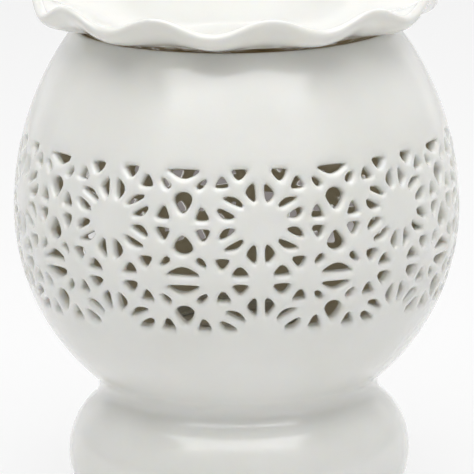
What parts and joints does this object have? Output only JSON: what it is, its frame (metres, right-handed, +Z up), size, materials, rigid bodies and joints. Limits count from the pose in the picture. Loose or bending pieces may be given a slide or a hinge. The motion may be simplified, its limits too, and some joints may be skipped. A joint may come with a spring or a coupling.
{
  "type": "essential oil burner",
  "caption": "White glazed ceramic oil burner: a pierced globe on a foot ring, a loose fluted oil dish on its mouth, and a tealight inside.",
  "frame": {"origin": "middle of the foot's underside, on the surface that it stands on", "axes": "+Z up; the pictured side faces -Y; +X is to the right in the picture"},
  "size_m": [0.12, 0.12, 0.14],
  "materials": {
    "body_glaze": "glossy off-white glaze",
    "dish_glaze": "glossy off-white glaze",
    "cup_foil": "drawn foil",
    "wax": "smooth cast wax",
    "holder_metal": "punched tinplate",
    "wick_cotton": "waxed braided cotton"
  },
  "bodies": {
    "burner": {"burner_body": "body_glaze"},
    "dish": {"oil_dish": "dish_glaze"},
    "tealight": {"tealight_cup": "cup_foil", "tealight_wax": "wax", "wick_holder": "holder_metal", "wick": "wick_cotton"}
  },
  "joints": [
    {"name": "dish_lift", "type": "slide", "parent": "burner", "child": "dish", "axis": [0, 0, 1], "range_m": [0, 0.05]},
    {"name": "tealight_lift", "type": "slide", "parent": "burner", "child": "tealight", "axis": [0, 0, 1], "range_m": [0, 0.06]}
  ]
}
